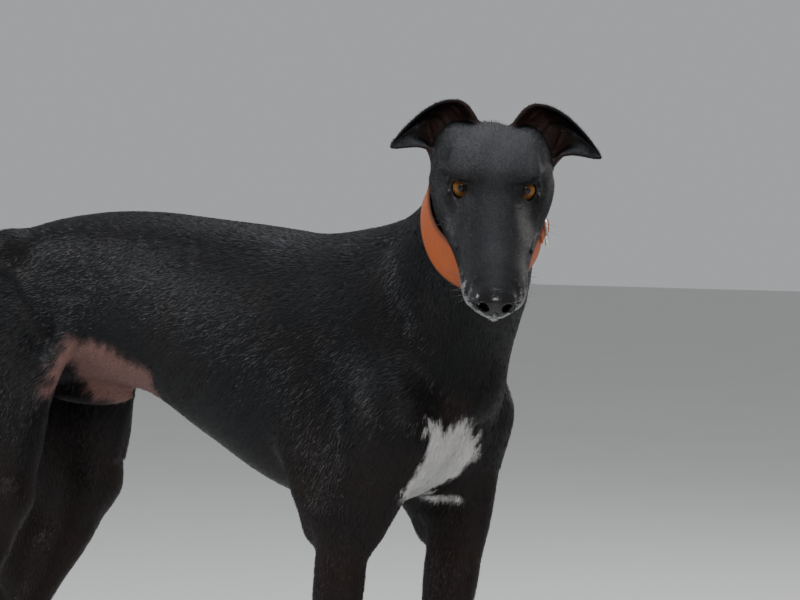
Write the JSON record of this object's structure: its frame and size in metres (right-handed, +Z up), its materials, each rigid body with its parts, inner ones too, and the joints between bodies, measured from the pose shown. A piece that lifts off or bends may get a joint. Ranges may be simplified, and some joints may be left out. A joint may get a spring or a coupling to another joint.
{
  "type": "greyhound",
  "caption": "Standing black greyhound with its head turned to its right, ears half raised, and a broad plain leather collar: a still, life-size model.",
  "frame": {"origin": "centre of the bounding box seen from above, at the level of the soles", "axes": "+X towards the shoulders from the rump, along the back; +Y to the dog's left; +Z up"},
  "size_m": [1.0964, 0.3887, 0.8046],
  "materials": {
    "coat": "short glossy black coat",
    "ear_coat": "short black coat, reddish brown inside the ear",
    "eye": "wet amber eye with a dark pupil",
    "collar_leather": "tan leather, satin",
    "ring_metal": "polished steel wire"
  },
  "bodies": {
    "root": {"torso": "coat", "neck": "coat", "head": "coat", "tail": "coat", "foreleg_left": "coat", "foreleg_right": "coat", "hindleg_left": "coat", "hindleg_right": "coat", "ear_left": "ear_coat", "ear_right": "ear_coat", "eye_left": "eye", "eye_right": "eye", "collar": "collar_leather", "collar_tab": "collar_leather", "collar_ring": "ring_metal"}
  },
  "joints": []
}
